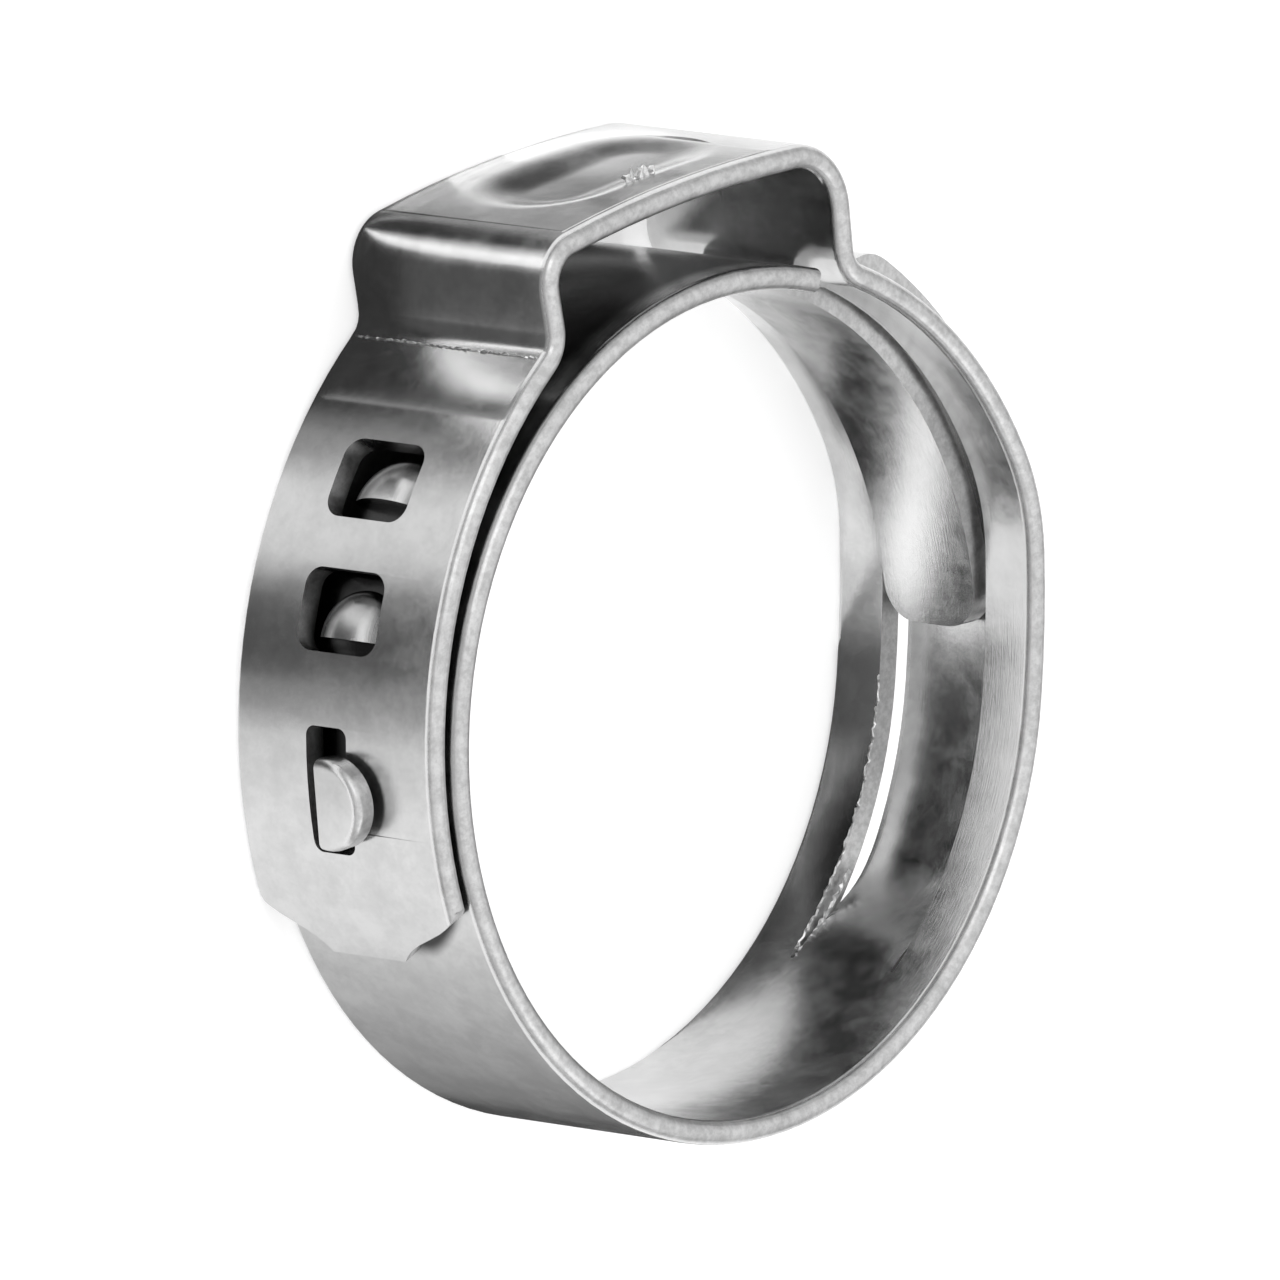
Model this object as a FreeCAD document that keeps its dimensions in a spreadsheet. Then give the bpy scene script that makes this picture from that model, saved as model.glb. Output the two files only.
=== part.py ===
import FreeCAD, Part
import math
import os

import Sketcher
from FreeCAD import Placement, Rotation, Vector

# Ear hose clamp, stamped and rolled from one steel strip.
# The bore axis is Z and the clamp stands on one rim, at Z = 0. The ear is on +Y.
# Angles are in degrees round the bore, counter-clockwise from +X, seen from above.
# Counter-clockwise, the strip starts at its shoulder under the ear, runs round the left,
# the bottom and the right as the inner layer, rises over the ear, and ends as the outer
# layer on the left. A narrow tongue goes on clockwise from the shoulder.

# Driving sizes in millimetres, with angles in degrees

SIZES = {
    "bore_diameter": 23.3,
    "strip_width": 7.5,
    "strip_thickness": 0.7,
    "layer_gap": 0.25,
    "rim_ease": 0.2,
    "ear_width": 11.5,
    "ear_rise": 3.0,
    "ear_lean_angle": 2.5,
    "ear_left_corner": 0.75,
    "ear_right_corner": 1.45,
    "ear_crown": 45.0,
    "ear_crown_shift": -0.8,
    "foot_round": 0.65,
    "lift_ease": 1.65,
    "lift_angle": 190.0,
    "outer_end_angle": 197.4,
    "end_corner_length": 1.7,
    "end_corner_width": 2.4,
    "shoulder_angle": 67.0,
    "tongue_width": 3.4,
    "tongue_tip_angle": -6.5,
    "tongue_tip_round": 1.1,
    "flat_ease": 18.35,
    "flat_start_angle": 344.7,
    "bump_ease": -5.55,
    "bump_start_angle": 352.6,
    "rail_ease": 0.69,
    "rail_start_angle": 379.4,
    "channel_width": 3.9,
    "channel_depth": 1.0,
    "channel_slit": 0.12,
    "channel_end_angle": 302.4,
    "channel_ramp": 4.8,
    "channel_top_angle": 418.0,
    "channel_top_ramp": 2.0,
    "window_length": 2.35,
    "window_width": 2.95,
    "window_shift": -0.1,
    "window_round": 0.55,
    "first_window_angle": 138.0,
    "window_pitch_angle": 16.2,
    "slot_angle": 175.8,
    "slot_length": 3.6,
    "slot_width": 1.5,
    "slot_shift": -0.25,
    "slot_round": 0.3,
    "dome_radius": 1.45,
    "dome_height": 0.75,
    "dome_corner": 0.55,
    "first_dome_angle": 139.6,
    "dome_pitch_angle": 17.8,
    "hook_angle": 176.6,
    "hook_length": 2.6,
    "hook_width": 1.55,
    "hook_thickness": 0.65,
    "hook_shift": 0.1,
    "hook_round": 0.25,
    "root_length": 1.8,
    "root_width": 0.4,
    "root_round": 0.15,
    "dish_length": 8.2,
    "dish_width": 5.0,
    "dish_depth": 0.35,
    "dish_slope_angle": 45.0,
}

doc = FreeCAD.newDocument("ear_hose_clamp")
sheet = doc.addObject("Spreadsheet::Sheet", "sizes")
for row, (name, value) in enumerate(SIZES.items(), start=1):
    sheet.set(f"A{row}", name)
    sheet.set(f"B{row}", str(value))
    sheet.setAlias(f"B{row}", name)
doc.recompute()


def size(name):
    """The value of one cell of the sheet."""
    return float(sheet.get(name))


BORE = size("bore_diameter") / 2
WIDTH = size("strip_width")
THICK = size("strip_thickness")
GAP = size("layer_gap")
OUTER = BORE + THICK + GAP
CLEAR = 1.0
BITE = 0.1
SKIN = 0.01


def ray(angle, length=1.0):
    """A vector of this length at this angle round the bore."""
    turn = math.radians(angle)
    return Vector(length * math.cos(turn), length * math.sin(turn), 0)


def bearing(vector):
    """The angle of a vector, from 0 to 360 degrees."""
    return math.degrees(math.atan2(vector.y, vector.x)) % 360


# The path of the strip follows its bore side, counter-clockwise. An arc's radius is positive
# where it bends round the bore, and negative at the two feet of the ear, which bend the other way.


def arc(centre, radius, start, end, rule=None):
    """One arc of the path, from one angle to another, with the rule for its radius."""
    return {"centre": centre, "radius": radius, "start": start, "end": end, "rule": rule}


def line(start, end):
    """One straight run of the path."""
    return {"from": start, "to": end}


def eased_arc(previous, name, end):
    """An arc that goes on smoothly from the one before it, wider or tighter than the bore."""
    start, radius = size(f"{name}_start_angle"), BORE + size(f"{name}_ease")
    centre = previous["centre"] + ray(start, previous["radius"] - radius)
    return arc(centre, radius, start, end, f"sizes.bore_diameter / 2 + sizes.{name}_ease")


def offset_edge(run, offset):
    """The edge of one run of the path, moved outwards by an offset."""
    if "from" in run:
        along = (run["to"] - run["from"]).normalize()
        outwards = Vector(along.y, -along.x, 0) * offset
        return Part.LineSegment(run["from"] + outwards, run["to"] + outwards)
    radius = abs(run["radius"] + offset)
    circle = Part.Circle(run["centre"], Vector(0, 0, 1), radius)
    low, high = sorted((run["start"], run["end"]))
    return Part.ArcOfCircle(circle, math.radians(low), math.radians(high))


def ends(run, offset):
    """The two end points of one run of the path, in the order of travel."""
    if "from" in run:
        edge = offset_edge(run, offset)
        return edge.StartPoint, edge.EndPoint
    radius = abs(run["radius"] + offset)
    return run["centre"] + ray(run["start"], radius), run["centre"] + ray(run["end"], radius)


def strip_outline(path, inner, outer):
    """The closed outline of a strip between two offsets from its path."""
    edges = [offset_edge(run, inner) for run in path]
    edges += [offset_edge(run, outer) for run in path]
    for run, end in ((path[0], 0), (path[-1], 1)):
        edges.append(Part.LineSegment(ends(run, inner)[end], ends(run, outer)[end]))
    return edges


def meeting(centre, reach, start, along, side):
    """Where a straight line from a start enters (-1) or leaves (1) a circle."""
    offset = start - centre
    middle = offset.dot(along)
    rest = offset.dot(offset) - reach**2
    return start + along * (side * math.sqrt(middle**2 - rest) - middle)


def foot(round_centre, round_radius, corner, heading, direction):
    """The centre of a foot of the ear, which touches both the band's arc and the ear's leg."""
    reach = size("foot_round") + THICK
    outwards = Vector(heading.y, -heading.x, 0)
    return meeting(round_centre, round_radius + reach, corner + outwards * reach, heading * direction, -1)


LEAN = size("ear_lean_angle")
CEILING = BORE + size("ear_rise")
RIGHT_CORNER = Vector(size("ear_width") / 2, CEILING, 0)
LEFT_CORNER = Vector(-size("ear_width") / 2, CEILING, 0)
UP_RIGHT_LEG = ray(90 - LEAN)
DOWN_LEFT_LEG = ray(270 + LEAN)


def right_arcs(start, end, depth=0.0):
    """The arcs of the right of the band up to an angle, or of the channel's floor further out."""
    previous = arc(Vector(), BORE, start, size("flat_start_angle"), "sizes.bore_diameter / 2")
    runs = [previous]
    for name, after in (("flat", "bump"), ("bump", "rail"), ("rail", None)):
        previous = eased_arc(previous, name, size(f"{after}_start_angle") if after else end)
        runs.append(previous)
    for run in runs:
        run["radius"] += depth
    return runs


def right_side(start):
    """The right of the band and the ear's right foot, with the point where the leg begins."""
    runs = right_arcs(start, size("channel_top_angle"))
    rail = runs[-1]
    outwards = Vector(UP_RIGHT_LEG.y, -UP_RIGHT_LEG.x, 0)
    centre = foot(rail["centre"], rail["radius"], RIGHT_CORNER, UP_RIGHT_LEG, -1)
    reach = size("foot_round") + THICK
    rail["end"] = 360 + bearing(centre - rail["centre"])
    foot_arc = arc(centre, -reach, rail["end"] - 180, 180 - LEAN, "-(sizes.foot_round + sizes.strip_thickness)")
    return runs + [foot_arc], centre - outwards * reach


def band_path():
    """The whole strip, from the shoulder under the ear to the outer end."""
    right, right_waist = right_side(size("shoulder_angle"))
    crown_radius = size("ear_crown")
    crown_centre = Vector(size("ear_crown_shift"), CEILING - crown_radius, 0)
    rounds = []
    for side, corner, up in (("right", RIGHT_CORNER, UP_RIGHT_LEG), ("left", LEFT_CORNER, -DOWN_LEFT_LEG)):
        radius = size(f"ear_{side}_corner")
        inwards = Vector(-corner.x, 0, 0).normalize()
        start = corner + inwards * (radius / math.cos(math.radians(LEAN))) - up * CEILING / 2
        rounds.append(meeting(crown_centre, crown_radius - radius, start, up, 1))
    right_turn, left_turn = (bearing(centre - crown_centre) for centre in rounds)
    right_round = arc(rounds[0], size("ear_right_corner"), -LEAN, right_turn, "sizes.ear_right_corner")
    crown = arc(crown_centre, crown_radius, right_turn, left_turn, "sizes.ear_crown")
    left_round = arc(rounds[1], size("ear_left_corner"), left_turn, 180 + LEAN, "sizes.ear_left_corner")
    outer = arc(Vector(), OUTER, size("lift_angle"), size("outer_end_angle"),
                "sizes.bore_diameter / 2 + sizes.strip_thickness + sizes.layer_gap")
    lift_radius = BORE + size("lift_ease")
    lift_centre = ray(size("lift_angle"), OUTER - lift_radius)
    centre = foot(lift_centre, lift_radius, LEFT_CORNER, DOWN_LEFT_LEG, 1)
    lift_start = bearing(centre - lift_centre)
    lift = arc(lift_centre, lift_radius, lift_start, size("lift_angle"),
               "sizes.bore_diameter / 2 + sizes.lift_ease")
    reach = size("foot_round") + THICK
    left_foot = arc(centre, -reach, LEAN, lift_start - 180, "-(sizes.foot_round + sizes.strip_thickness)")
    left_waist = ends(left_foot, 0)[0]
    return [
        *right,
        line(right_waist, ends(right_round, 0)[0]),
        right_round, crown, left_round,
        line(ends(left_round, 0)[1], left_waist),
        left_foot, lift, outer,
    ]


# The body and its sketches

body = doc.addObject("PartDesign::Body", "clamp_band")
body.Label = "clamp_band"
ORIGIN = {item.Role: item for item in body.Origin.OriginFeatures}


def sketch_at(name, placement=Placement()):
    """An empty sketch at a place that is given from the body's XY plane."""
    sketch = body.newObject("Sketcher::SketchObject", name)
    sketch.AttachmentSupport = (ORIGIN["XY_Plane"], "")
    sketch.MapMode = "FlatFace"
    sketch.AttachmentOffset = placement
    return sketch


def draw(sketch, edges):
    """Adds edges to a sketch and joins the ends that meet."""
    first = len(sketch.Geometry)
    spots = []
    for number, edge in enumerate(edges, start=first):
        sketch.addGeometry(edge, False)
        spots += [(number, 1, sketch.getPoint(number, 1)), (number, 2, sketch.getPoint(number, 2))]
    for index, (edge, end, spot) in enumerate(spots):
        for other_edge, other_end, other_spot in spots[index + 1:]:
            if other_edge != edge and spot.distanceToPoint(other_spot) < 1e-6:
                sketch.addConstraint(Sketcher.Constraint("Coincident", edge, end, other_edge, other_end))


def radial(angle, reach, shift=0.0):
    """A place that faces outwards at an angle, with X along the strip and Y up from its middle."""
    facing = Rotation(ray(angle + 90), Vector(0, 0, 1), ray(angle), "ZXY")
    return Placement(ray(angle, reach) + Vector(0, 0, WIDTH / 2 + shift), facing)


def flat_at(height):
    """A level place at a height above the resting rim."""
    return Placement(Vector(0, 0, height), Rotation())


def feature(kind, name, sketch, length, reverse=False):
    """A pad or pocket of a sketch, whose length follows the sheet."""
    item = body.newObject(kind, name)
    item.Profile = sketch
    item.Reversed = reverse
    if isinstance(length, str):
        item.setExpression("Length", length)
    else:
        item.Length = length
    sketch.Visibility = False
    doc.recompute()
    return item


def rounded_box(length, width, corner):
    """The outline of a box with rounded corners, round the sketch's centre."""
    x, y = length / 2, width / 2
    edges = [
        Part.LineSegment(Vector(corner - x, -y, 0), Vector(x - corner, -y, 0)),
        Part.LineSegment(Vector(corner - x, y, 0), Vector(x - corner, y, 0)),
        Part.LineSegment(Vector(-x, corner - y, 0), Vector(-x, y - corner, 0)),
        Part.LineSegment(Vector(x, corner - y, 0), Vector(x, y - corner, 0)),
    ]
    for turn, (side, top) in enumerate(((1, 1), (-1, 1), (-1, -1), (1, -1))):
        circle = Part.Circle(Vector(side * (x - corner), top * (y - corner), 0), Vector(0, 0, 1), corner)
        edges.append(Part.ArcOfCircle(circle, math.radians(90 * turn), math.radians(90 * turn + 90)))
    return edges


def dress_edges(kind, name, base, test, setting, rule):
    """Rounds or eases the edges of a feature that pass a test."""
    names = [f"Edge{n}" for n, edge in enumerate(base.Shape.Edges, start=1) if test(edge)]
    item = body.newObject(kind, name)
    item.Base = (base, names)
    item.setExpression(setting, rule)
    doc.recompute()
    return item


# The folded strip, with its long rims eased

path = band_path()
profile = sketch_at("strip_profile")
draw(profile, strip_outline(path, 0, THICK))
for side, extra in ((0, ""), (len(path), " + sizes.strip_thickness")):
    for place, run in enumerate(path):
        if run.get("rule"):
            sign = "-" if run["radius"] < 0 else ""
            at = profile.addConstraint(Sketcher.Constraint(
                "Radius", side + place, abs(run["radius"] + (THICK if side else 0))))
            label = f"bend_{side + place}"
            profile.renameConstraint(at, label)
            profile.setExpression(f"Constraints.{label}", f"{sign}({run['rule']}{extra})")
strip = feature("PartDesign::Pad", "strip", profile, "sizes.strip_width")


def on_rim(edge):
    """Whether an edge runs along one of the strip's two rims, and isn't one of its short ends."""
    level = {round(vertex.Point.z, 4) for vertex in edge.Vertexes}
    short_end = edge.Curve.TypeId == "Part::GeomLine" and abs(edge.Length - THICK) < SKIN
    return level in ({0.0}, {round(WIDTH, 4)}) and not short_end


dress_edges("PartDesign::Chamfer", "eased_rims", strip, on_rim, "Size", "sizes.rim_ease")

# The windows and the slot of the outer layer, cut down to just above the inner layer

FACE = OUTER + THICK + CLEAR


def cut_through(name, angle, outline, shift=0.0):
    """A cut from outside through the outer layer alone."""
    sketch = sketch_at(f"{name}_outline", radial(angle, FACE, shift))
    draw(sketch, outline)
    return feature("PartDesign::Pocket", name, sketch, FACE - (BORE + THICK + SKIN))


for number in range(2):
    cut_through(f"window_{number + 1}", size("first_window_angle") + number * size("window_pitch_angle"),
                rounded_box(size("window_length"), size("window_width"), size("window_round")),
                size("window_shift"))
cut_through("slot", size("slot_angle"),
            rounded_box(size("slot_length"), size("slot_width"), size("slot_round")), size("slot_shift"))


def end_corner(side):
    """One corner that is taken off the outer end, along an S-shaped line."""
    length, width, half = size("end_corner_length"), size("end_corner_width"), WIDTH / 2
    root, tip = Vector(-length, side * half, 0), Vector(0, side * (half - width), 0)
    inwards = Vector(0, -side * width / 4, 0)
    middle = Vector(-length / 2, 0, 0)
    slant = Part.BezierCurve()
    slant.setPoles([root, middle + Vector(0, side * half, 0) + inwards,
                    middle + Vector(0, side * half, 0) + inwards * 3, tip])
    beyond = [tip, Vector(CLEAR, tip.y, 0), Vector(CLEAR, side * (half + CLEAR), 0),
              Vector(-length, side * (half + CLEAR), 0), root]
    return [slant.toBSpline()] + [Part.LineSegment(*pair) for pair in zip(beyond, beyond[1:])]


for side, name in ((1, "upper_end_corner"), (-1, "lower_end_corner")):
    cut_through(name, size("outer_end_angle"), end_corner(side))

# The channel for the tongue: its strip is freed by two slits and pressed outwards

CHANNEL_ENDS = (size("channel_end_angle"), size("channel_top_angle"))
RAIL = (WIDTH - size("channel_width")) / 2
rail_runs = right_arcs(*CHANNEL_ENDS)
cut_sketch = sketch_at("channel_outline", flat_at(RAIL))
draw(cut_sketch, strip_outline(rail_runs, -BITE, THICK + BITE))
feature("PartDesign::Pocket", "channel_slits", cut_sketch, "sizes.channel_width", reverse=True)


def along(run, angle, offset=0.0):
    """A point of a run of the path at an angle, and the direction of travel there."""
    return run["centre"] + ray(angle, run["radius"] + offset), ray(angle + 90)


def ramp(start, finish):
    """A smooth S between two points with their directions of travel."""
    (low, leaving), (high, arriving) = start, finish
    pull = low.distanceToPoint(high) / 2
    curve = Part.BezierCurve()
    curve.setPoles([low, low + leaving * pull, high - arriving * pull, high])
    return curve.toBSpline()


def channel_floor():
    """The outline of the pressed-out floor, with a ramp at each end."""
    runs = right_arcs(*CHANNEL_ENDS, size("channel_depth"))
    first, last = rail_runs[0], rail_runs[-1]
    runs[0]["start"] += math.degrees(size("channel_ramp") / BORE)
    runs[-1]["end"] -= math.degrees(size("channel_top_ramp") / BORE)
    turn = math.degrees(BITE / BORE)
    edges, low, high = [], [], []
    for side in (0, THICK):
        low.append(along(first, CHANNEL_ENDS[0] - turn, side))
        high.append(along(last, CHANNEL_ENDS[1] + turn, side))
        edges.append(ramp(low[-1], along(runs[0], runs[0]["start"], side)))
        edges += [offset_edge(run, side) for run in runs]
        edges.append(ramp(along(runs[-1], runs[-1]["end"], side), high[-1]))
    for pair in (low, high):
        edges.append(Part.LineSegment(pair[0][0], pair[1][0]))
    return edges


floor_sketch = sketch_at("channel_floor_outline", flat_at(RAIL + size("channel_slit")))
draw(floor_sketch, channel_floor())
feature("PartDesign::Pad", "channel_floor", floor_sketch, "sizes.channel_width - 2 * sizes.channel_slit")

# The tongue, which slides between the rails when the ear is closed

tongue_run = arc(Vector(), BORE, size("tongue_tip_angle"), size("shoulder_angle") + 1)
tongue_sketch = sketch_at("tongue_outline", flat_at((WIDTH - size("tongue_width")) / 2))
draw(tongue_sketch, strip_outline([tongue_run], 0, THICK))
tongue = feature("PartDesign::Pad", "tongue", tongue_sketch, "sizes.tongue_width")


def at_tongue_tip(edge):
    """Whether an edge is one of the two short corners at the tongue's tip."""
    tip = ray(size("tongue_tip_angle"), BORE + THICK / 2)
    middle = edge.CenterOfMass
    level = Vector(middle.x, middle.y, 0)
    return level.distanceToPoint(tip) < SKIN and abs(edge.Length - THICK) < SKIN


dress_edges("PartDesign::Fillet", "tongue_tip", tongue, at_tongue_tip, "Radius", "sizes.tongue_tip_round")

# The hooks that are pressed out of the inner layer, in the two windows


def dome(name, angle):
    """Half a dome, whose steep face looks along the strip."""
    radius, rise = size("dome_radius"), size("dome_height") + BITE
    facing = Rotation(Vector(0, 0, 1), ray(angle), ray(angle + 90), "ZXY")
    root = ray(angle, BORE + THICK - BITE) + Vector(0, 0, WIDTH / 2 + size("window_shift"))
    sketch = sketch_at(f"{name}_outline", Placement(root, facing))
    corner = size("dome_corner")
    crown = ((radius - corner)**2 + rise**2 - corner**2) / (2 * (rise - corner))
    top, side = Vector(0, rise, 0), Vector(radius, 0, 0)
    corner_centre, crown_centre = Vector(radius - corner, 0, 0), Vector(0, rise - crown, 0)
    meet = math.radians(bearing(corner_centre - crown_centre))
    upwards = Vector(0, 0, 1)
    draw(sketch, [Part.ArcOfCircle(Part.Circle(corner_centre, upwards, corner), 0, meet),
                  Part.ArcOfCircle(Part.Circle(crown_centre, upwards, crown), meet, math.pi / 2),
                  Part.LineSegment(Vector(), side), Part.LineSegment(Vector(), top)])
    item = body.newObject("PartDesign::Revolution", name)
    item.Profile = sketch
    item.ReferenceAxis = (sketch, ["V_Axis"])
    item.Angle = 180
    sketch.Visibility = False
    doc.recompute()
    return item


for number in range(2):
    dome(f"window_hook_{number + 1}", size("first_dome_angle") + number * size("dome_pitch_angle"))

# The main hook: a root through the slot and a half-moon head over the outer layer


def half_moon(length, width):
    """A D-shaped outline that stands on its straight side."""
    left, right = Vector(-length / 2, 0, 0), Vector(length / 2, 0, 0)
    return [Part.LineSegment(left, right), Part.Arc(right, Vector(0, width, 0), left)]


HOOK_FACE = OUTER + THICK + GAP
root_sketch = sketch_at("hook_root_outline", radial(
    size("hook_angle"), BORE + THICK - BITE, size("hook_shift") + size("root_width") / 2))
draw(root_sketch, rounded_box(size("root_length"), size("root_width"), size("root_round")))
feature("PartDesign::Pad", "hook_root", root_sketch, HOOK_FACE - BORE - THICK + 2 * BITE)
head_sketch = sketch_at("hook_head_outline", radial(size("hook_angle"), HOOK_FACE, size("hook_shift")))
draw(head_sketch, half_moon(size("hook_length"), size("hook_width")))
head = feature("PartDesign::Pad", "hook_head", head_sketch, "sizes.hook_thickness")


def on_hook_face(edge):
    """Whether an edge is the curved one that bounds the outer face of the hook's head."""
    out = ray(size("hook_angle"))
    top = HOOK_FACE + size("hook_thickness")
    straight_side = WIDTH / 2 + size("hook_shift")
    at_top = all(abs(vertex.Point.dot(out) - top) < SKIN for vertex in edge.Vertexes)
    return at_top and edge.CenterOfMass.z > straight_side + SKIN


dress_edges("PartDesign::Fillet", "rounded_hook", head, on_hook_face, "Radius", "sizes.hook_round")

# The dish that is pressed into the ear's top, and its bulge below


def dish(kind, name, level, length, width):
    """A pad or pocket in the shape of the dish, down from a level."""
    place = Placement(Vector(0, level, WIDTH / 2), Rotation(Vector(-1, 0, 0), Vector(0, 0, 1), Vector(0, 1, 0), "ZXY"))
    sketch = sketch_at(f"{name}_outline", place)
    draw(sketch, rounded_box(length, width, width / 2 - SKIN))
    return feature(kind, name, sketch, "sizes.dish_depth", reverse=kind == "PartDesign::Pad")


bulge = dish("PartDesign::Pad", "dish_bulge", CEILING, size("dish_length"), size("dish_width"))
bulge.TaperAngle = -size("dish_slope_angle")
recess = dish("PartDesign::Pocket", "dish_recess", CEILING + THICK,
              size("dish_length"), size("dish_width"))
recess.TaperAngle = -size("dish_slope_angle")

body.Tip = recess
doc.recompute()

# Every step is tested before the file is written

for item in doc.Objects:
    if {"Invalid", "Error"} & set(item.State):
        raise SystemExit(f"{item.Name} failed: {item.State}")
shape = body.Shape
if shape.isNull() or not shape.isValid() or len(shape.Solids) != 1:
    raise SystemExit(f"clamp_band is not one valid solid: {len(shape.Solids)}")
os.makedirs("parts", exist_ok=True)
shape.exportStep("parts/clamp_band.step")
box = shape.BoundBox
print(f"clamp_band {shape.Volume:.1f} mm3, {box.XLength:.2f} x {box.YLength:.2f} x {box.ZLength:.2f} mm")
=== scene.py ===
import math
import random

import bpy
from mathutils import Matrix, Vector


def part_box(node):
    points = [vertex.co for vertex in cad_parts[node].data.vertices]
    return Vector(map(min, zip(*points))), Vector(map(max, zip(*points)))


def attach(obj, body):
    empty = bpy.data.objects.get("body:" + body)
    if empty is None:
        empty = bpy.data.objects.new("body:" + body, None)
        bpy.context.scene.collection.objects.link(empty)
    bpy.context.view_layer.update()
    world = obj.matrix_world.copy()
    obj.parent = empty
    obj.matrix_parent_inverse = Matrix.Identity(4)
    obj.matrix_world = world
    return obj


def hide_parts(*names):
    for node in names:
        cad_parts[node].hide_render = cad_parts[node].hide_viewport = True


# %% [markdown]
# # An ear hose clamp in steel
# The clamp is one strip of stainless steel, rolled into a ring and folded over itself. It lies on
# one rim, with the axis of its bore upright, and all measures here are in millimetres until they
# are handed to Blender, which works in metres.

# %% Load the clamp
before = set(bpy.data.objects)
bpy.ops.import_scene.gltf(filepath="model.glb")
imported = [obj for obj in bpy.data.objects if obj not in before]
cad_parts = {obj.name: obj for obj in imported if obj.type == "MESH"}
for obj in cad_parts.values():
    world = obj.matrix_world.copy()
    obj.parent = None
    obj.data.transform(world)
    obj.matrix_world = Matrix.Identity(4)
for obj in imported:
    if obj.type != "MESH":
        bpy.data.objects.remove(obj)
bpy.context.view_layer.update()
MM = 0.001
STRIP_WIDTH = 7.5
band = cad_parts["clamp_band"]
bpy.ops.object.select_all(action="DESELECT")
low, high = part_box("clamp_band")
print("clamp_band", [round(side / MM, 2) for side in high - low], "mm")

# %% [markdown]
# ## The camera
# The picture was taken with a long lens that looks down on the clamp, rolled so that the ear is
# at the top of the frame. Three vectors say so more plainly than three turns: where the lens
# aims, the way back to the camera, and the way up in the picture.

# %% Place the camera
AIM = Vector((1.848, 0.806, 1.620))
BACK = Vector((-0.69836, 0.26965, 0.66301)).normalized()
UP = Vector((0.27525, 0.95628, -0.09905)).normalized()
DISTANCE = 791.22
LENS = 792.89
SENSOR = 36.0
camera_data = bpy.data.cameras.new("long_lens")
camera_data.lens, camera_data.sensor_width = LENS, SENSOR
camera_data.clip_start, camera_data.clip_end = 0.01, 20
camera = bpy.data.objects.new("long_lens", camera_data)
bpy.context.scene.collection.objects.link(camera)
right = UP.cross(BACK).normalized()
turn = Matrix((right, UP, BACK)).transposed().to_4x4()
camera.matrix_world = Matrix.Translation((AIM + BACK * DISTANCE) * MM) @ turn
bpy.context.scene.camera = camera
bpy.context.scene.view_settings.view_transform = "Standard"
print("camera at", [round(c / MM, 1) for c in camera.matrix_world.translation], "mm")

# %% [markdown]
# ## Helpers for materials
# Every finish here is a small network of nodes. These helpers add a node, set its sockets by
# name and join it to the ones before, so that a finish reads like a recipe.

# %% Helpers for materials


def finish_of(name):
    """A new material, and its network with nothing in it."""
    material = bpy.data.materials.new(name)
    material.use_nodes = True
    material.node_tree.nodes.clear()
    return material, material.node_tree


def put(tree, kind, sockets=None, **settings):
    """Adds a node with its settings, and joins or fills its sockets."""
    node = tree.nodes.new(kind)
    for key, value in settings.items():
        setattr(node, key, value)
    for key, value in (sockets or {}).items():
        if isinstance(value, bpy.types.NodeSocket):
            tree.links.new(value, node.inputs[key])
        else:
            node.inputs[key].default_value = value
    return node


def maths(tree, operation, *values):
    """What a piece of arithmetic on numbers or sockets gives."""
    return put(tree, "ShaderNodeMath", dict(enumerate(values)), operation=operation).outputs[0]


print("helpers ready")

# %% [markdown]
# ## Floor and light
# The clamp lies on white paper. A metal shows what is round it, and the sides of this ring
# look down at the paper, so the light and dark of the steel come from the paper and from cards
# that lie on it. The paper glows a little, but only for the lens and for reflections, so that
# it stays white. The sky is a soft ramp, lighter overhead, with two large lamps in it.

# %% Floor
FLOOR_SIZE = 4000
FLOOR_GREY = 0.8
FLOOR_GLOW = 0.5
WHITE = (1, 1, 1, 1)
bpy.ops.mesh.primitive_plane_add(size=FLOOR_SIZE * MM, location=(0, 0, 0))
floor = bpy.context.active_object
floor.name = "paper_floor"
paper, tree = finish_of("white_paper")
path = put(tree, "ShaderNodeLightPath")
seen = maths(tree, "MAXIMUM", path.outputs["Is Camera Ray"], path.outputs["Is Glossy Ray"])
sheet = put(tree, "ShaderNodeBsdfDiffuse", {"Color": (FLOOR_GREY, FLOOR_GREY, FLOOR_GREY, 1)})
glow = put(tree, "ShaderNodeEmission", {
    "Color": WHITE, "Strength": maths(tree, "MULTIPLY", seen, FLOOR_GLOW)})
both = put(tree, "ShaderNodeAddShader", {0: sheet.outputs[0], 1: glow.outputs[0]})
put(tree, "ShaderNodeOutputMaterial", {"Surface": both.outputs[0]})
floor.data.materials.append(paper)
print("floor", FLOOR_SIZE, "mm wide")

# %% Sky and lamps
SKY_LOW, SKY_HIGH, SKY_TOP = 0.3, 1.08, 0.75
KEY_BOX = ((-250, 380, 420), 260, 0.3)
FILL_BOX = ((60, -460, 400), 300, 0.25)


def ramp_of(tree, factor, *stops):
    """A colour ramp in greys, from pairs of place and grey."""
    node = put(tree, "ShaderNodeValToRGB", {"Fac": factor})
    elements = node.color_ramp.elements
    while len(elements) < len(stops):
        elements.new(1)
    for element, (place, grey) in zip(elements, stops):
        element.position, element.color = place, (grey, grey, grey, 1)
    return node


world = bpy.data.worlds.new("studio")
bpy.context.scene.world = world
world.use_nodes = True
tree = world.node_tree
sky = tree.nodes["Background"]
direction = put(tree, "ShaderNodeTexCoord").outputs["Generated"]
rise = put(tree, "ShaderNodeSeparateXYZ", {"Vector": direction}).outputs["Z"]
glow_ramp = ramp_of(tree, rise, (0.0, SKY_LOW), (SKY_TOP, SKY_HIGH))
tree.links.new(glow_ramp.outputs["Color"], sky.inputs["Color"])
sky.inputs["Strength"].default_value = 1.0


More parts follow.
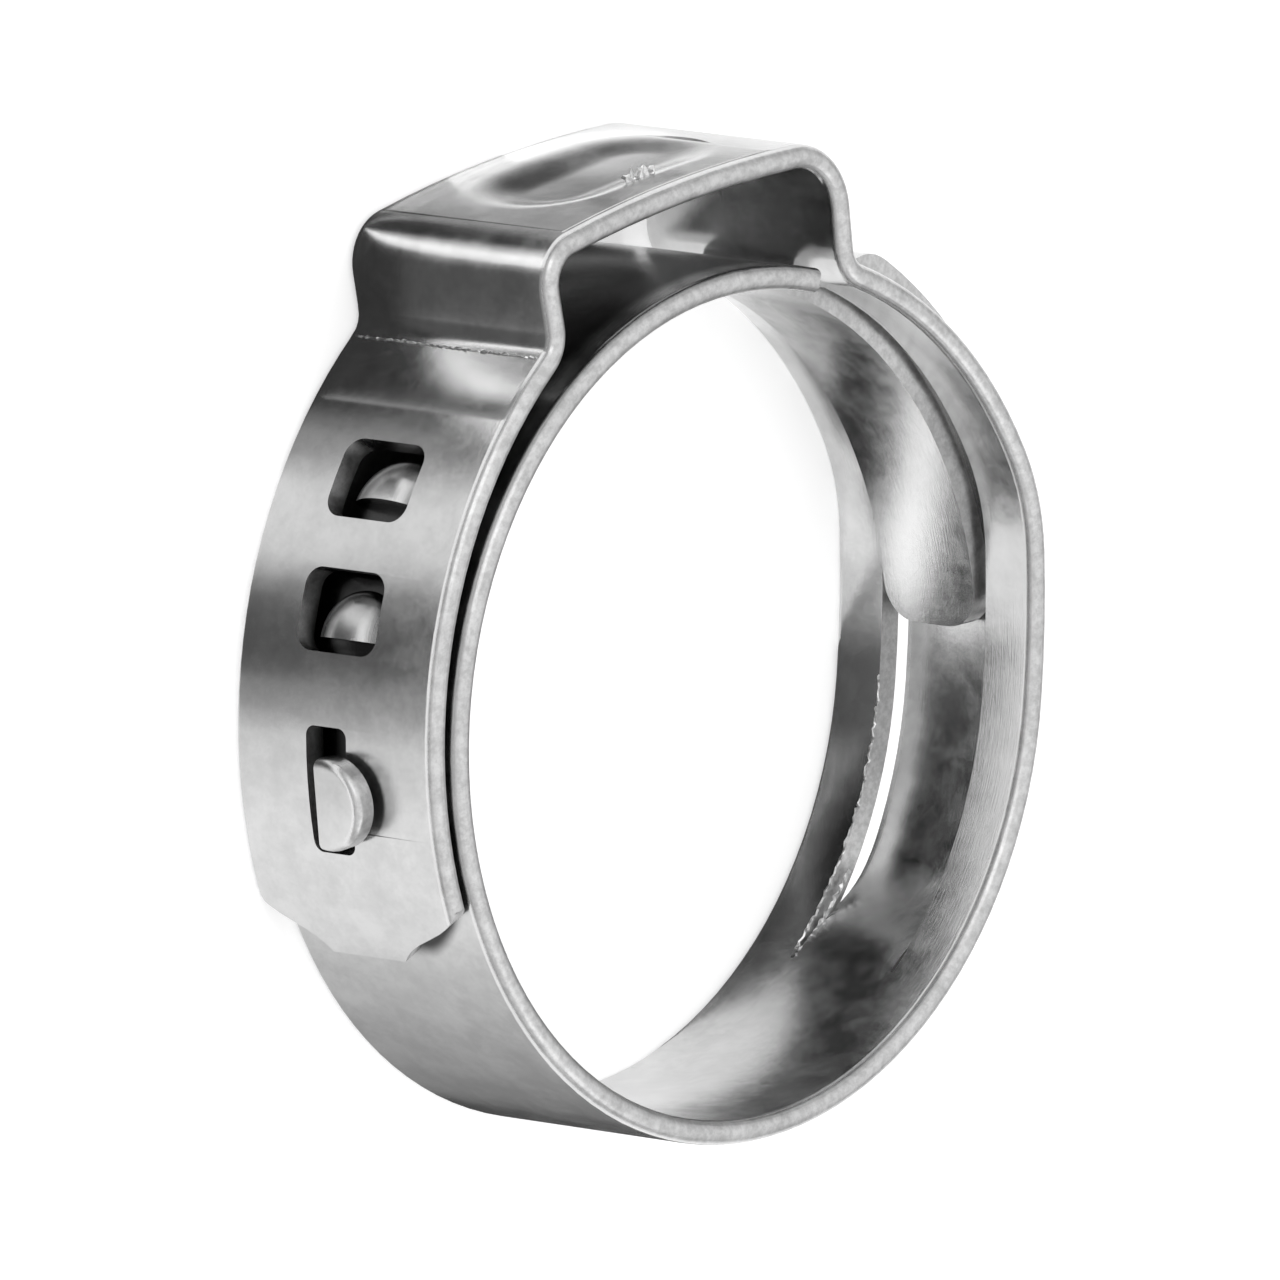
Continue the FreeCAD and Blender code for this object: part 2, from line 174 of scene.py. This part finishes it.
def softbox(name, place, side, power):
    """A square area lamp that faces the clamp."""
    data = bpy.data.lights.new(name, "AREA")
    data.shape, data.size, data.size_y, data.energy = "RECTANGLE", side * MM, side * MM, power
    lamp = bpy.data.objects.new(name, data)
    bpy.context.scene.collection.objects.link(lamp)
    place = Vector(place)
    facing = place.to_track_quat("Z", "Y").to_matrix().to_4x4()
    lamp.matrix_world = Matrix.Translation(place * MM) @ facing


softbox("key", *KEY_BOX)
softbox("fill", *FILL_BOX)

# %% [markdown]
# ## Reflection cards
# A ray that leaves the lens and meets the upright side of the ring is thrown down on the paper
# next to it. A photographer lays light and dark cards there, and the curved steel shows them as
# bands. Each card here is a fan of such rays: for a place on the ring it starts at the wall and
# runs the way the ray runs, and carries one brightness. Only reflections see the cards.

# %% The light of a card
LOOK = math.degrees(math.atan2(-BACK.y, -BACK.x))
CARD_STEP = 2
CARD_LIFT = 0.02


def between(stops, place):
    """The value at a place between pairs of place and value."""
    for (low, before), (high, after) in zip(stops, stops[1:]):
        if low <= place <= high:
            share = (place - low) / (high - low)
            share = share * share * (3 - 2 * share)
            return before + (after - before) * share
    return stops[0][1] if place < stops[0][0] else stops[-1][1]


def on_circle(angle, radius):
    """A point of the paper at an angle round the bore."""
    turn = math.radians(angle)
    return Vector((radius * math.cos(turn), radius * math.sin(turn), CARD_LIFT))


glowing, tree = finish_of("card_light")
own_light = put(tree, "ShaderNodeAttribute", attribute_name="brightness").outputs["Fac"]
light = put(tree, "ShaderNodeEmission", {"Color": WHITE, "Strength": own_light})
put(tree, "ShaderNodeOutputMaterial", {"Surface": light.outputs[0]})


def card(name, rows, values):
    """A sheet through rows of points, with one brightness for each point.

    The camera doesn't see it, and it casts no shadow."""
    width = len(rows[0])
    points = [tuple(point * MM) for row in rows for point in row]
    faces = [(i * width + j, (i + 1) * width + j, (i + 1) * width + j + 1, i * width + j + 1)
             for i in range(len(rows) - 1) for j in range(width - 1)]
    mesh = bpy.data.meshes.new(name)
    mesh.from_pydata(points, [], faces)
    attribute = mesh.attributes.new("brightness", "FLOAT", "POINT")
    attribute.data.foreach_set("value", [value for row in values for value in row])
    mesh.materials.append(glowing)
    sheet = bpy.data.objects.new(name, mesh)
    bpy.context.scene.collection.objects.link(sheet)
    sheet.visible_camera = sheet.visible_diffuse = False
    sheet.visible_shadow = sheet.visible_transmission = False


print("the lens looks along", round(LOOK, 1), "degrees")

# %% Cards by the ring


def thrown(facing):
    """The way along the paper that a ray runs from a wall that faces this angle."""
    turn = math.radians(2 * facing + 180 - LOOK)
    return Vector((math.cos(turn), math.sin(turn), 0))


def fan(name, radius, reach, stops):
    """A card by a wall, with stops of angle and brightness."""
    rows, values = [], []
    for angle in range(int(stops[0][0]), int(stops[-1][0]) + 1, CARD_STEP):
        start = on_circle(angle, radius)
        rows.append([start, start + thrown(angle) * reach])
        values.append([between(stops, angle)] * 2)
    card(name, rows, values)


OUTER_BANDS = ((100, 0.5), (112, 0.35), (119, 0.05), (129, 0.05), (135, 0.4), (141, 1.0),
               (147, 1.0), (154, 0.2), (157, 0.13), (161, 0.13), (165, 0.4), (171, 0.95),
               (180, 1.15), (194, 1.1), (200, 0.9))
SINGLE_BANDS = ((196, 0.9), (206, 0.7), (218, 0.45), (230, 0.28), (238, 0.08), (244, 0.06),
                (249, 0.4), (256, 0.3), (270, 0.1), (300, 0.2))
FOOT_BANDS = ((48, 1.8), (72, 2.2))
INNER_BANDS = ((-86, 1.1), (-72, 0.9), (-64, 0.25), (-58, 0.05), (-50, 0.05), (-42, 0.7),
               (-34, 0.85), (-28, 0.75), (-21, 0.05), (-13, 0.06), (-5, 0.85), (6, 1.2),
               (12, 1.0), (18, 0.35), (24, 0.1), (36, 0.03), (41, 0.2), (47, 0.9), (66, 1.3))
FANS = (("outer_card", 13.3, 12.0, OUTER_BANDS), ("single_card", 12.37, 13.0, SINGLE_BANDS),
        ("foot_card", 13.5, 6.0, FOOT_BANDS), ("inner_card", 11.65, 5.0, INNER_BANDS))
for name, radius, reach, stops in FANS:
    fan(name, radius, reach, stops)
print("fans", [name for name, *_ in FANS])

# %% [markdown]
# ## Cards inside the bore, in the tunnel and by the ear
# The rails and the tongue look at places further in, so they get oval cards of their own, one
# on top of the others. The tunnel under the ear gets a dark strip with one light line. The top
# of the ear, its corner and its left leg are seen in three cards more. The leg's card stands.

# %% Oval cards in the bore
SPOT_STEP = 20
SPOT_RINGS = (0, 0.7, 1.0)
SPOTS = (("rail_card", (6.6, -4.2), 3.7, 2.5, 115, (0.01, 0.02, 0.2)),
         ("tongue_dark_card", (9.6, 1.9), 1.6, 1.2, 60, (0.02, 0.03, 0.3)),
         ("tongue_light_card", (8.2, -0.9), 1.3, 0.9, 30, (1.9, 1.8, 1.2)))
for name, centre, length, width, lie, fade in SPOTS:
    rows, long_way = [], on_circle(lie, 1)
    middle = Vector((*centre, 2 * CARD_LIFT))
    for part in range(0, 361, SPOT_STEP):
        way = on_circle(part, 1)
        out = Vector((way.x * length * long_way.x - way.y * width * long_way.y,
                      way.x * length * long_way.y + way.y * width * long_way.x, 0))
        rows.append([middle + out * ring for ring in SPOT_RINGS])
    card(name, rows, [fade] * len(rows))
print("ovals", [name for name, *_ in SPOTS])

# %% Card in the tunnel
TUNNEL_SIDES = (-5.4, 5.4)
TUNNEL_PLACES = [tenths / 10 for tenths in range(120, 146, 2)]
TUNNEL_BANDS = ((11.9, 0.05), (12.6, 0.08), (13.1, 0.55), (13.6, 0.08), (14.6, 0.04))
rows = [[Vector((x, y, 2 * CARD_LIFT)) for x in TUNNEL_SIDES] for y in TUNNEL_PLACES]
card("tunnel_card", rows, [[between(TUNNEL_BANDS, row[0].y)] * 2 for row in rows])
print("tunnel_card", len(rows), "rows")

# %% Cards by the ear
EAR_TOP = 15.4
EAR_REACH = (0, 3, 6, 9.5)
EAR_FADE = (1.9, 1.1, 0.2, 0.0)
EAR_CORNER = Vector((-5.9, 15.2, CARD_LIFT))
EAR_PLACES = range(-5, 8)
CORNER_BANDS = ((96, 0.8), (102, 0.04), (126, 0.04), (134, 0.9), (143, 2.2), (152, 1.8),
                (158, 0.2), (164, 0.05))
LEG_CARD_X, LEG_CARD_Y, LEG_CARD_Z = -8.6, (11.1, 12.1, 15.2, 16.3), (0, 4.8, 7.2)
LEG_DARK, LEG_EDGE = 0.12, 0.45
rows = [[Vector((x, EAR_TOP, CARD_LIFT)) + thrown(90) * reach for reach in EAR_REACH]
        for x in EAR_PLACES]
card("ear_card", rows, [EAR_FADE] * len(rows))
rows, values = [], []
for facing in range(CORNER_BANDS[0][0], CORNER_BANDS[-1][0] + 1, CARD_STEP):
    rows.append([EAR_CORNER, EAR_CORNER + thrown(facing) * EAR_REACH[-1]])
    values.append([between(CORNER_BANDS, facing)] * 2)
card("corner_card", rows, values)
inner_row = [LEG_DARK, LEG_DARK, LEG_EDGE]
card("leg_card", [[Vector((LEG_CARD_X, y, z)) for z in LEG_CARD_Z] for y in LEG_CARD_Y],
     [[LEG_EDGE] * 3, inner_row, inner_row, [LEG_EDGE] * 3])

# %% [markdown]
# ## The steel
# Stainless strip is rolled, so its faces carry a fine grain along the strip, and the press that
# forms the clamp leaves it a little uneven. Its sheared rims are duller and speckled. One finish
# does all of it: noises on the object's own coordinates, and masks by radius, angle and height.

# %% Places on the strip
STEEL_GREY = 0.62
RIM_FACING = (0.3, 0.8)


def rise_of(tree, value, low, high, before=0.0, after=1.0):
    """A soft step from one number to another, between two places."""
    sockets = {"Value": value, "From Min": low, "From Max": high,
               "To Min": before, "To Max": after}
    step = put(tree, "ShaderNodeMapRange", sockets, interpolation_type="SMOOTHSTEP")
    return step.outputs["Result"]


steel, tree = finish_of("rolled_steel")
coordinates = put(tree, "ShaderNodeTexCoord").outputs
in_mm = put(tree, "ShaderNodeVectorMath", {0: coordinates["Object"], 1: (1 / MM,) * 3},
            operation="MULTIPLY").outputs[0]
axis = put(tree, "ShaderNodeSeparateXYZ", {"Vector": in_mm}).outputs
radius = maths(tree, "SQRT", maths(tree, "ADD", maths(tree, "POWER", axis["X"], 2.0),
                                   maths(tree, "POWER", axis["Y"], 2.0)))
back_x = maths(tree, "MULTIPLY", axis["X"], -1.0)
back_y = maths(tree, "MULTIPLY", axis["Y"], -1.0)
around = maths(tree, "MULTIPLY", maths(tree, "ARCTAN2", back_y, back_x), math.degrees(1))
facing = put(tree, "ShaderNodeSeparateXYZ", {"Vector": coordinates["Normal"]}).outputs["Z"]
rim = rise_of(tree, maths(tree, "ABSOLUTE", facing), *RIM_FACING)
print("angles count from the side that faces the lens")

# %% Grain and mottle
MM_PER_DEGREE = 0.218
GRAIN_STRETCH = (1.2, 24, 1)
SPREAD = (0.3, 0.7)
SHINE, RIM_DULL = (0.18, 0.26), 0.16
WORN, SPECKLE = (0.9, 1.06), (-0.18, 0.08)


def noise_of(tree, place, scale, detail, roughness):
    """A soft random pattern, from 0 to 1."""
    sockets = {"Vector": place, "Scale": scale, "Detail": detail, "Roughness": roughness}
    return put(tree, "ShaderNodeTexNoise", sockets).outputs["Fac"]


arc = maths(tree, "MULTIPLY", around, MM_PER_DEGREE)
unrolled = put(tree, "ShaderNodeCombineXYZ", {"X": arc, "Y": axis["Z"]})
stretch = put(tree, "ShaderNodeMapping", {"Vector": unrolled.outputs[0], "Scale": GRAIN_STRETCH})
grain = noise_of(tree, stretch.outputs[0], scale=1.0, detail=4.0, roughness=0.6)
mottle = noise_of(tree, in_mm, scale=0.9, detail=6.0, roughness=0.68)
fleck = noise_of(tree, in_mm, scale=4.5, detail=3.0, roughness=0.7)
shine = maths(tree, "ADD", rise_of(tree, mottle, *SPREAD, *SHINE),
              maths(tree, "MULTIPLY", rim, RIM_DULL))
speckled = maths(tree, "MULTIPLY", rise_of(tree, fleck, *SPREAD, *SPECKLE), rim)
tone = maths(tree, "ADD", rise_of(tree, mottle, *SPREAD, *WORN), speckled)
print("grain", GRAIN_STRETCH)

# %% [markdown]
# ## Painted shade where the layers lap
# Between the layers little light gets in, and the steel's colour is darkened there as painted
# shade. The mask takes in the outer face of the inner layer and the inner face of the outer one,
# from under the ear to just past the outer end, whose two corners are cut away. The dish gets
# its painted shade from an attribute.

# %% Painted shade where the layers lap
LAP_RADII = (12.15, 12.25, 12.6, 13.1)
LAP_START, LAP_RISE, LAP_END, LAP_FADE, LAP_PAINTED_SHADE = -112.0, 14.0, 17.5, 2.6, 0.9
CORNER_PLACES, CORNER_TURN = (1.35, 3.75), 7.5
LAP_LEVELS = (STRIP_WIDTH - 1.2, STRIP_WIDTH - 0.5)
DISH_PAINTED_SHADE = 0.9
across = maths(tree, "ABSOLUTE", maths(tree, "SUBTRACT", axis["Z"], STRIP_WIDTH / 2))
end = maths(tree, "SUBTRACT", LAP_END, rise_of(tree, across, *CORNER_PLACES, 0.0, CORNER_TURN))
lap = maths(tree, "MULTIPLY",
            rise_of(tree, around, end, maths(tree, "ADD", end, LAP_FADE), 1.0, 0.0),
            rise_of(tree, around, LAP_START, LAP_START + LAP_RISE))
gap = maths(tree, "MULTIPLY", rise_of(tree, radius, *LAP_RADII[:2]),
            rise_of(tree, radius, *LAP_RADII[2:], 1.0, 0.0))
below_rim = rise_of(tree, axis["Z"], *LAP_LEVELS, 1.0, 0.0)
# painted shade: the steel's colour is darkened between the layers, where shade falls
dark = maths(tree, "MULTIPLY", maths(tree, "MULTIPLY", lap, gap),
             maths(tree, "MULTIPLY", below_rim, LAP_PAINTED_SHADE))
# painted shade in the dish, read from the dish's hollow attribute
dish_shade_share = put(tree, "ShaderNodeAttribute", attribute_name="hollow").outputs["Fac"]
hollow = maths(tree, "MULTIPLY", dish_shade_share, DISH_PAINTED_SHADE)
left_after_painted_shade = maths(tree, "MULTIPLY", maths(tree, "SUBTRACT", 1.0, dark),
                   maths(tree, "SUBTRACT", 1.0, hollow))
shade = maths(tree, "MULTIPLY", maths(tree, "MULTIPLY", tone, left_after_painted_shade), STEEL_GREY)
print("dark lap up to", LAP_END, "degrees")

# %% Bump and skin
GRAIN_SHARE = 0.45
BUMP_STRENGTH, BUMP_DISTANCE = 0.3, 0.00002


def metal(tree, shade, roughness, height, strength, distance):
    """A bare metal of one grey, with a bump, joined to the output."""
    tint = put(tree, "ShaderNodeCombineColor", {"Red": shade, "Green": shade, "Blue": shade})
    bump = put(tree, "ShaderNodeBump", {
        "Height": height, "Strength": strength, "Distance": distance})
    skin = put(tree, "ShaderNodeBsdfPrincipled", {
        "Base Color": tint.outputs[0], "Metallic": 1.0, "Roughness": roughness,
        "Normal": bump.outputs[0]})
    put(tree, "ShaderNodeOutputMaterial", {"Surface": skin.outputs[0]})


soft_grain = maths(tree, "MULTIPLY", grain, GRAIN_SHARE)
height = maths(tree, "ADD", maths(tree, "ADD", soft_grain, mottle),
               maths(tree, "MULTIPLY", fleck, rim))
metal(tree, shade, shine, height, BUMP_STRENGTH, BUMP_DISTANCE)
print("rolled_steel", len(tree.nodes), "nodes")

# %% [markdown]
# ## The strip
# The solid of the strip comes as loose triangles. A copy of it is merged, and its flat runs are
# dissolved into whole faces. Its rims are rounded most, as a sheared and tumbled strip is, the
# edges of the windows less, and all other edges by a live bevel that is then applied. The round
# parts get a material slot of their own, so that the next step can tell them from whole faces.

# %% Copy and merge the strip
FLAT_ANGLE = math.radians(0.6)
MERGE = 0.001


def only(obj):
    """Selects one object and makes it the active one."""
    bpy.ops.object.select_all(action="DESELECT")
    obj.select_set(True)
    bpy.context.view_layer.objects.active = obj


mesh = band.data.copy()
mesh.name = "strip"
strip = bpy.data.objects.new("strip", mesh)
bpy.context.scene.collection.objects.link(strip)
strip.data.materials.clear()
strip.data.materials.append(steel)
strip.data.materials.append(steel)
only(strip)
bpy.ops.object.mode_set(mode="EDIT")
bpy.ops.mesh.customdata_custom_splitnormals_clear()
bpy.ops.mesh.select_all(action="SELECT")
bpy.ops.mesh.remove_doubles(threshold=MERGE * MM)
bpy.ops.mesh.dissolve_limited(angle_limit=FLAT_ANGLE)
bpy.ops.object.mode_set(mode="OBJECT")
print("strip", len(strip.data.polygons), "faces after the merge")

# %% Round its edges
BREAK_ANGLE = math.radians(38)
RIM_ROUND, WINDOW_ROUND, EDGE_ROUND = 0.12, 0.06, 0.05
RIM_LEVELS = (0, 0.2, STRIP_WIDTH - 0.2, STRIP_WIDTH)
RING_RADII = (11.65, 12.35, 12.6, 13.3)
WINDOW_ANGLES, WINDOW_LEVELS = (128, 186), (0.6, 6.9)
LEVEL_FIT, RADIUS_FIT = 0.002, 0.01


def bevel_where(obj, wanted, most_rise, width, segments):
    """Bevels the sharp edges whose ends pass a test and that rise no more than this, in mm."""
    only(obj)
    bpy.ops.object.mode_set(mode="EDIT")
    bpy.ops.mesh.select_mode(type="EDGE")
    bpy.ops.mesh.select_all(action="DESELECT")
    bpy.ops.mesh.edges_select_sharp(sharpness=BREAK_ANGLE)
    bpy.ops.object.mode_set(mode="OBJECT")
    for edge in obj.data.edges:
        ends = [obj.data.vertices[i].co / MM for i in edge.vertices]
        level = abs(ends[0].z - ends[1].z) < most_rise
        edge.select = edge.select and level and all(wanted(end) for end in ends)
    for part in [*obj.data.vertices, *obj.data.polygons]:
        part.select = False
    print("bevel", sum(edge.select for edge in obj.data.edges), "edges")
    bpy.ops.object.mode_set(mode="EDIT")
    bpy.ops.mesh.bevel(offset=width * MM, segments=segments, affect="EDGES",
                       clamp_overlap=False, material=1)
    bpy.ops.object.mode_set(mode="OBJECT")


def on_rim(end):
    """At one of the four levels where a rim breaks."""
    return min(abs(end.z - level) for level in RIM_LEVELS) < LEVEL_FIT


def on_window(end):
    """On the outer face, where the windows and the slot are cut."""
    at = math.degrees(math.atan2(end.y, end.x)) % 360
    outside = abs(math.hypot(end.x, end.y) - RING_RADII[3]) < RADIUS_FIT
    return (outside and WINDOW_ANGLES[0] < at < WINDOW_ANGLES[1]
            and WINDOW_LEVELS[0] < end.z < WINDOW_LEVELS[1])


bevel_where(strip, on_rim, RADIUS_FIT, RIM_ROUND, segments=4)
bevel_where(strip, on_window, STRIP_WIDTH, WINDOW_ROUND, segments=2)
bpy.ops.object.shade_smooth()
rounding = strip.modifiers.new("rounding", "BEVEL")
rounding.width, rounding.segments, rounding.material = EDGE_ROUND * MM, 2, 1
rounding.limit_method, rounding.angle_limit = "ANGLE", BREAK_ANGLE
bpy.ops.object.modifier_apply(modifier="rounding")
print("strip", len(strip.data.polygons), "faces with its rounds")

# %% [markdown]
# ## Even light over the strip
# A bend of the strip is a row of flat facets of uneven width, and polished metal shows each of
# them. Blender's own smooth shading favours the wide ones. Here a corner's normal is the mean of
# the facets round it, in which a narrow facet counts for more, because it lies closer to the
# curve. Where a corner lies on one of the clamp's circles, the normal is the circle's own.

# %% Even light over the strip
FLAT_FACING, UPRIGHT_FACING = 0.95, 0.02
RING_FIT, RING_TURN = 0.03, 0.997


def level_span(face, spots):
    """How wide a face is along the strip, from the points of its corners."""
    along = Vector((-face.normal.y, face.normal.x, 0)).normalized()
    places = [spot.dot(along) for spot in spots]
    return max(max(places) - min(places), MERGE * MM)


def even_out(obj):
    """Turns each corner's normal to the curve that its facets stand for."""
    points = obj.data.vertices
    whole, all_round = [Vector() for _ in points], [Vector() for _ in points]
    for face in obj.data.polygons:
        flat = abs(face.normal.z) > FLAT_FACING
        span = MM if flat else level_span(face, [points[i].co for i in face.vertices])
        for i in face.vertices:
            all_round[i] += face.normal * face.area
            if face.material_index == 0:
                whole[i] += face.normal * face.area / span**2
    normals = []
    for point, own, soft in zip(points, whole, all_round):
        normal = own if own.length > 0 else soft
        out = Vector((point.co.x, point.co.y, 0))
        upright = own.length > 0 and abs(own.normalized().z) < UPRIGHT_FACING
        near = min(abs(out.length / MM - ring) for ring in RING_RADII) < RING_FIT
        if upright and near and abs(out.normalized().dot(own.normalized())) > RING_TURN:
            normal = out if out.dot(own) > 0 else -out
        normals.append(normal.normalized())
    obj.data.normals_split_custom_set_from_vertices(normals)


even_out(strip)
for face in strip.data.polygons:
    face.material_index = 0
strip.data.materials.pop(index=1)
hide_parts("clamp_band")
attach(strip, "root")
print("strip", len(strip.data.polygons), "faces")

# %% [markdown]
# ## The dish in the ear
# The ear's top is pressed in, so that it springs back a little after the clamp is closed. The
# dish is a soft hollow without edges. A thin skin over the whole top, a fine grid pressed in by
# a smooth curve and closed by Solidify, gives that shape better than a cut with straight walls.

# %% Shape of the ear's top
DISH_LENGTH, DISH_WIDTH = 8.2, 5.0
CROWN, CROWN_CENTRE, CROWN_END = 45.7, Vector((-0.8, -30.35)), 3.45
CORNER_ROUND = 1.45


def inside_dish(x, z):
    """How far a place is inside the dish's outline, which is a slot with round ends."""
    straight = (DISH_LENGTH - DISH_WIDTH) / 2
    beyond = max(abs(x) - straight, 0)
    return DISH_WIDTH / 2 - math.hypot(beyond, z - STRIP_WIDTH / 2)


def top_of_ear(x):
    """The height of the ear's top: a flat arc, and past its end the round corner."""
    crown = CROWN_CENTRE.y + math.sqrt(CROWN**2 - (min(x, CROWN_END) - CROWN_CENTRE.x)**2)
    if x <= CROWN_END:
        return crown
    lean = math.asin((CROWN_END - CROWN_CENTRE.x) / CROWN)
    past = x - CROWN_END + CORNER_ROUND * math.sin(lean)
    return crown + math.sqrt(CORNER_ROUND**2 - past**2) - CORNER_ROUND * math.cos(lean)


DOWN, ABOVE, FLOOR_PLACES, FLOOR_LIFT = Vector((0, -1, 0)), 20, (-3, 0, 3), 0.01
rays = [Vector((x, ABOVE, STRIP_WIDTH / 2)) * MM for x in FLOOR_PLACES]
heights = [strip.ray_cast(ray, DOWN)[1].y / MM for ray in rays]
dish_floor = max(heights) + FLOOR_LIFT
print("floor of the dish at", [round(height_at, 3) for height_at in heights])

# %% Press the dish
DISH_SLOPE = 1.7
TOP_X, TOP_Z = (-5.1, 4.3), (0.34, 7.16)
TOP_LIFT, SHELL = 0.003, 0.2
GRID = 0.1
bpy.ops.mesh.primitive_grid_add(x_subdivisions=round((TOP_X[1] - TOP_X[0]) / GRID),
                                y_subdivisions=round((TOP_Z[1] - TOP_Z[0]) / GRID), size=1,
                                location=(0, 0, 0))
dish = bpy.context.active_object
dish.name = dish.data.name = "ear_dish"
for vertex in dish.data.vertices:
    x = TOP_X[0] + (vertex.co.x + 0.5) * (TOP_X[1] - TOP_X[0])
    z = TOP_Z[1] - (vertex.co.y + 0.5) * (TOP_Z[1] - TOP_Z[0])
    share = min(max(inside_dish(x, z) / DISH_SLOPE, 0), 1)
    top = top_of_ear(x) + TOP_LIFT
    depth = max(top - dish_floor, 0) * share * share * (3 - 2 * share)
    vertex.co = Vector((x, top - depth, z)) * MM
only(dish)
bpy.ops.object.mode_set(mode="EDIT")
bpy.ops.mesh.select_all(action="SELECT")
bpy.ops.mesh.normals_make_consistent(inside=False)
bpy.ops.object.mode_set(mode="OBJECT")
bpy.ops.object.shade_smooth()

# %% Paint shade into the dish and close its skin
# painted shade: the dish's colour darkens towards its middle, most on its left end and less to
# the right
DISH_SHADE_ACROSS = ((0.1, 0.0), (1.0, 0.9), (1.8, 1.0))
DISH_SHADE_ALONG = ((-4.5, 0.9), (-0.8, 1.0), (1.2, 0.5), (4.5, 0.3))
places = [(vertex.co.x / MM, vertex.co.z / MM) for vertex in dish.data.vertices]
dish_shade_of = dish.data.attributes.new("hollow", "FLOAT", "POINT")
dish_shade_of.data.foreach_set("value", [
    between(DISH_SHADE_ACROSS, inside_dish(x, z)) * between(DISH_SHADE_ALONG, x) for x, z in places])
shell = dish.modifiers.new("shell", "SOLIDIFY")
shell.thickness, shell.offset = SHELL * MM, -1
bpy.ops.object.modifier_apply(modifier="shell")
dish.data.materials.append(steel)
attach(dish, "root")
print("ear_dish", len(dish.data.polygons), "faces")

# %% [markdown]
# ## Burrs
# Where the strip is slit or pressed, the tool tears the metal and leaves small bright burrs. Each
# is a ribbon made from a fine grid, whose points are shaken by seeded random numbers, and closed
# by Solidify. The torn metal gets a lighter grey, whose brightest spots are painted glints.

# %% Torn steel
TORN_SCALE, TORN_GREYS_AND_GLINTS, TORN_ROUGHNESS = 5000.0, (0.6, 0.95), 0.35
TORN_STRENGTH, TORN_DISTANCE = 0.6, 0.00003
torn, tree = finish_of("torn_steel")
own_place = put(tree, "ShaderNodeTexCoord").outputs["Object"]
# light spots on the torn metal: partly its lighter grey, partly painted glints
spots = noise_of(tree, own_place, scale=TORN_SCALE, detail=3.0, roughness=0.5)
metal(tree, rise_of(tree, spots, *SPREAD, *TORN_GREYS_AND_GLINTS), TORN_ROUGHNESS, spots, TORN_STRENGTH,
      TORN_DISTANCE)
print("torn_steel", len(tree.nodes), "nodes")

# %% Burrs
BURR_SEED = 7
BURR_HEIGHTS, BURR_ROOT = (0.5, 1.2), 0.3
chance = random.Random(BURR_SEED)


def burr(name, places, rise, shake, thickness=0.05):
    """A ragged ribbon along pairs of foot and direction, in millimetres."""
    bpy.ops.object.select_all(action="DESELECT")
    bpy.ops.mesh.primitive_grid_add(x_subdivisions=len(places) - 1, y_subdivisions=2, size=1,
                                    location=(0, 0, 0))
    piece = bpy.context.active_object
    piece.name = piece.data.name = name
    for vertex in piece.data.vertices:
        foot, way = places[round((vertex.co.x + 0.5) * (len(places) - 1))]
        tall = vertex.co.y + 0.5
        vertex.co = foot + way * rise * (tall * chance.uniform(*BURR_HEIGHTS) - BURR_ROOT)
        vertex.co += Vector([chance.uniform(-shake, shake) * tall for _ in range(3)])
        vertex.co *= MM
    body = piece.modifiers.new("body", "SOLIDIFY")
    body.thickness, body.offset = thickness * MM, 0
    bpy.ops.object.modifier_apply(modifier="body")
    bpy.ops.object.mode_set(mode="EDIT")
    bpy.ops.mesh.select_all(action="SELECT")
    bpy.ops.mesh.normals_make_consistent(inside=False)
    bpy.ops.object.mode_set(mode="OBJECT")
    piece.data.materials.append(torn)
    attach(piece, "root")
    print(name, len(piece.data.polygons), "faces")


def ring_way(angle, radius, z, up):
    """A foot on the ring at an angle, a radius and a height, and a way in and up."""
    foot = on_circle(angle, radius)
    way = -foot.normalized() + Vector((0, 0, up))
    return Vector((foot.x, foot.y, z)), way.normalized()


BURR_STEP = 0.6
SLIT_START, SLIT_COUNT, SLIT_RADIUS, SLIT_LEVEL, SLIT_LEAN = -56, 70, 11.68, 1.78, 0.8
RAMP_START, RAMP_COUNT, RAMP_RADIUS, RAMP_LEVEL, RAMP_LEAN = -57, 26, 11.75, 1.94, -0.2
RAMP_RISE = 0.012
slit = [ring_way(SLIT_START + BURR_STEP * i, SLIT_RADIUS, SLIT_LEVEL, SLIT_LEAN)
        for i in range(SLIT_COUNT)]
ramp = [ring_way(RAMP_START + BURR_STEP * i, RAMP_RADIUS + RAMP_RISE * i, RAMP_LEVEL, RAMP_LEAN)
        for i in range(RAMP_COUNT)]
burr("far_slit_burr", slit, rise=0.16, shake=0.05)
burr("ramp_burr", ramp, rise=0.14, shake=0.05)

# %% Burr by the dish
LUMP_START, LUMP_STEP, LUMP_COUNT = -0.9, 0.07, 18
LUMP_LEVEL, LUMP_SWAY, LUMP_SUNK = 5.75, 0.1, 0.06
LUMP_WAY = Vector((0.1, 0.9, -0.3))
places = []
for i in range(LUMP_COUNT):
    x = LUMP_START + LUMP_STEP * i
    foot = Vector((x, top_of_ear(x) - LUMP_SUNK, LUMP_LEVEL + LUMP_SWAY * math.sin(i)))
    places.append((foot, LUMP_WAY))
burr("dish_burr", places, rise=0.3, shake=0.09, thickness=0.12)

# %% [markdown]
# ## The crease
# Where the left leg meets the ring, the fold is so sharp that the steel cracks in a fine line.
# The line has to lie on the strip, so rays are cast on it along the foot, and the ribbon starts
# where they hit.

# %% Crease at the foot of the ear
CREASE_FROM, CREASE_WAY = Vector((-8.0, 13.0)), Vector((2.4, -2.0, 0)).normalized()
CREASE_LOW, CREASE_STEP, CREASE_COUNT = 0.35, 0.1, 69
places = []
for i in range(CREASE_COUNT):
    start = Vector((*CREASE_FROM, CREASE_LOW + CREASE_STEP * i))
    _, spot, normal, _ = strip.ray_cast(start * MM, CREASE_WAY)
    places.append((spot / MM, normal))
burr("foot_crease", places, rise=0.07, shake=0.04)

# %% Finish
print("the clamp is built")
